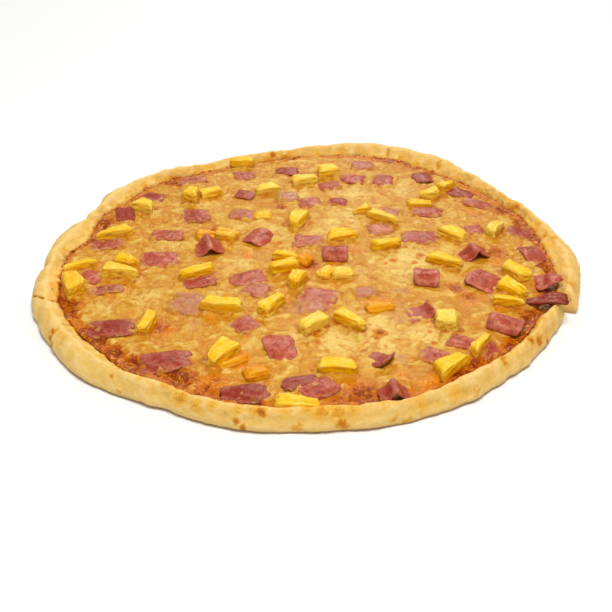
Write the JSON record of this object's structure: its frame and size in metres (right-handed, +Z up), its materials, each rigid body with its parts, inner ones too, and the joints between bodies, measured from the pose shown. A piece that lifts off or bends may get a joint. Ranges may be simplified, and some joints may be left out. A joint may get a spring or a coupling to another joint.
{
  "type": "ham and pineapple pizza",
  "caption": "Thin hand-formed round pizza with a low uneven rim, tomato sauce, melted cheese, ham slices and pineapple chunks.",
  "frame": {"origin": "middle of the flat underside, at the middle of the pizza's box in plan", "axes": "+Z up out of the toppings, +X to the right and +Y away from the camera in the reference view"},
  "size_m": [0.3302, 0.3342, 0.0193],
  "materials": {
    "crust": "pale golden baked wheat dough, matt, with darker baked blisters",
    "sauce": "baked tomato sauce, dark red and slightly glossy with oil",
    "cheese": "melted cheese, creamy yellow with orange oil and brown spots, soft gloss",
    "pineapple": "moist fibrous pineapple flesh, yellow",
    "ham": "cooked ham, pink with darker dried edges"
  },
  "bodies": {
    "root": {"crust": "crust", "sauce": "sauce", "cheese": "cheese", "ham_01": "ham", "ham_02": "ham", "ham_03": "ham", "ham_04": "ham", "ham_05": "ham", "ham_06": "ham", "ham_07": "ham", "ham_08": "ham", "ham_09": "ham", "ham_10": "ham", "ham_11": "ham", "ham_12": "ham", "ham_13": "ham", "ham_14": "ham", "ham_15": "ham", "pineapple_01": "pineapple", "pineapple_02": "pineapple", "pineapple_03": "pineapple", "pineapple_04": "pineapple", "pineapple_05": "pineapple", "pineapple_06": "pineapple", "pineapple_07": "pineapple", "pineapple_08": "pineapple", "pineapple_09": "pineapple", "pineapple_10": "pineapple", "pineapple_11": "pineapple", "pineapple_12": "pineapple", "pineapple_13": "pineapple", "pineapple_14": "pineapple", "pineapple_15": "pineapple", "pineapple_16": "pineapple", "pineapple_17": "pineapple", "pineapple_18": "pineapple", "pineapple_19": "pineapple", "pineapple_20": "pineapple", "pineapple_21": "pineapple", "pineapple_22": "pineapple", "pineapple_23": "pineapple", "pineapple_24": "pineapple", "pineapple_25": "pineapple", "pineapple_26": "pineapple", "pineapple_27": "pineapple", "pineapple_28": "pineapple", "pineapple_29": "pineapple", "pineapple_30": "pineapple", "pineapple_31": "pineapple", "pineapple_32": "pineapple", "pineapple_33": "pineapple", "pineapple_34": "pineapple", "pineapple_35": "pineapple", "pineapple_36": "pineapple", "pineapple_37": "pineapple", "pineapple_38": "pineapple", "pineapple_39": "pineapple", "pineapple_40": "pineapple", "pineapple_41": "pineapple", "pineapple_42": "pineapple"}
  },
  "joints": []
}
